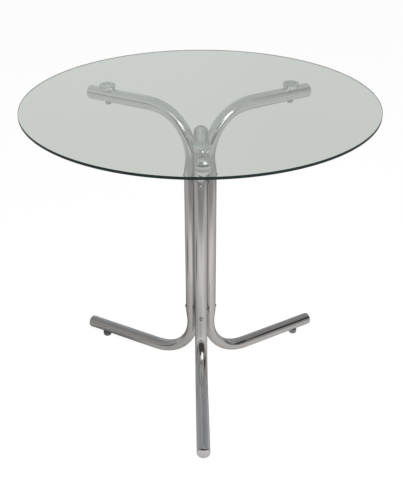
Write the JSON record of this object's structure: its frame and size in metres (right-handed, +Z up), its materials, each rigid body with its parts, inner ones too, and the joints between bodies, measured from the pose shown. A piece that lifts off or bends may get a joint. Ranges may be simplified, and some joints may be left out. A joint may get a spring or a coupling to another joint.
{
  "type": "table",
  "caption": "Round clear glass table on bent chrome tube legs set back to back, with flared pads under the glass, domed end plugs and glides",
  "frame": {"origin": "on the floor, under the centre of the glass", "axes": "+Z up; the front leg runs out along -Y; the right leg at 30 degrees and the left leg at 150 degrees from +X"},
  "size_m": [0.7999, 0.8, 0.75],
  "materials": {
    "glass": "clear float glass, bevelled and polished edge",
    "chromed_tube": "bright chrome",
    "plug": "bright chrome plate",
    "pad": "bright chrome, turned",
    "clear_bond": "clear cured film",
    "glide": "gloss",
    "hub": "turned and milled",
    "screw": "bright plate",
    "bolt": "zinc plated",
    "stud": "zinc plated",
    "rivet_nut": "zinc plated"
  },
  "bodies": {
    "root": {"glass_top": "glass", "leg_tube_front": "chromed_tube", "leg_tube_right": "chromed_tube", "leg_tube_left": "chromed_tube", "arm_plug_front": "plug", "arm_plug_right": "plug", "arm_plug_left": "plug", "foot_plug_front": "plug", "foot_plug_right": "plug", "foot_plug_left": "plug", "glass_pad_front": "pad", "glass_pad_right": "pad", "glass_pad_left": "pad", "pad_bond_front": "clear_bond", "pad_bond_right": "clear_bond", "pad_bond_left": "clear_bond", "glide_front": "glide", "glide_right": "glide", "glide_left": "glide", "lower_hub": "hub", "upper_hub": "hub", "hub_screws": "screw", "pad_bolts": "bolt", "glide_studs": "stud", "rivet_nuts": "rivet_nut"}
  },
  "joints": []
}
